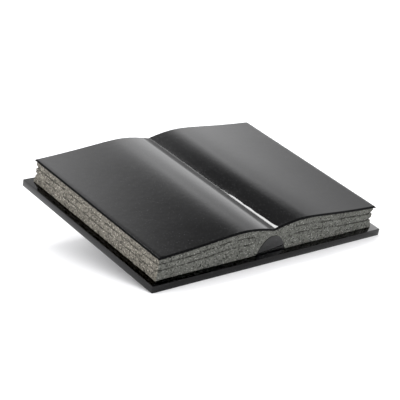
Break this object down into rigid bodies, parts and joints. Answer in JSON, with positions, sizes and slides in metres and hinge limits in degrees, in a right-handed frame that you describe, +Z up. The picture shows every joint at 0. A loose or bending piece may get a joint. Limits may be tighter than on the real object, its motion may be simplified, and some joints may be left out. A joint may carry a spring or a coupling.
{
  "type": "granite book memorial",
  "caption": "Open book carved in black granite: a thin polished cover slab carries a page block with curved page tops and rough-hewn page edges, set at a slope on a support block.",
  "frame": {"origin": "bottom centre of the whole object, on the ground it stands on", "axes": "+Z up, +X to the reader's right across the open pages, +Y from the foot of the pages to their raised back edge"},
  "size_m": [0.4, 0.2944, 0.1306],
  "materials": {
    "polished_granite": "polished",
    "page_granite": "satin",
    "support_granite": "satin"
  },
  "bodies": {
    "root": {"cover_slab": "polished_granite", "page_block": "page_granite", "support_block": "support_granite"}
  },
  "joints": []
}
